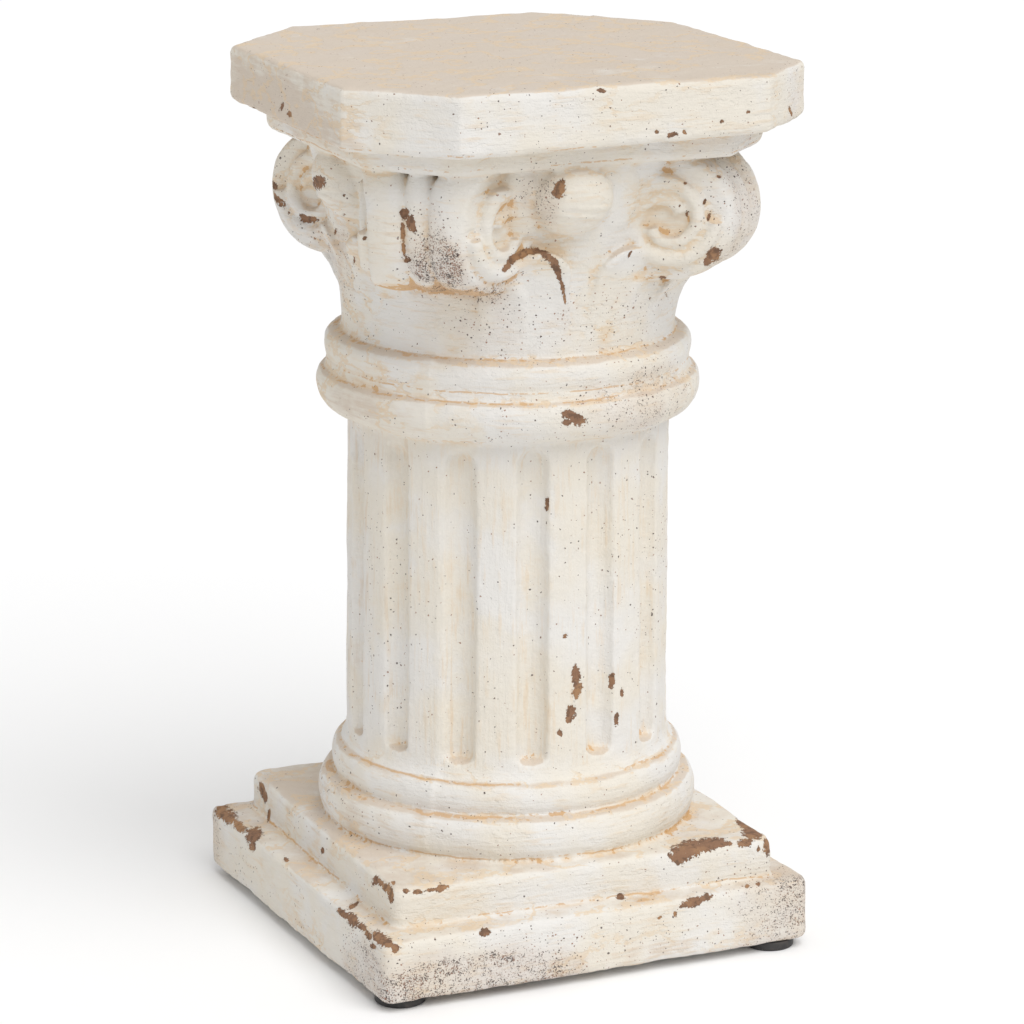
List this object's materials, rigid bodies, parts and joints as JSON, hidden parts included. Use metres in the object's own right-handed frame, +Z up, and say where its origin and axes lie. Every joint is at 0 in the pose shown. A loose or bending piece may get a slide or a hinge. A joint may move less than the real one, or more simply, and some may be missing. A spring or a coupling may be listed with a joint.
{
  "type": "column pedestal",
  "caption": "Short cast pedestal shaped as a fluted column with a scrolled, leafy capital, a square cut-corner top slab and a stepped square plinth on rubber feet.",
  "frame": {"origin": "centre of the footprint on the floor, under the four feet", "axes": "+Z up the column; X and Y square to the flat sides of the plinth; the scrolls stand on the diagonals; -Y is the broad side seen in the picture"},
  "size_m": [0.2606, 0.2606, 0.4807],
  "materials": {
    "painted_cast_clay": "matt cream paint over brown clay, speckled and chipped",
    "black_rubber": "matt"
  },
  "bodies": {
    "root": {"pedestal_body": "painted_cast_clay", "foot_front_left": "black_rubber", "foot_front_right": "black_rubber", "foot_back_left": "black_rubber", "foot_back_right": "black_rubber"}
  },
  "joints": []
}
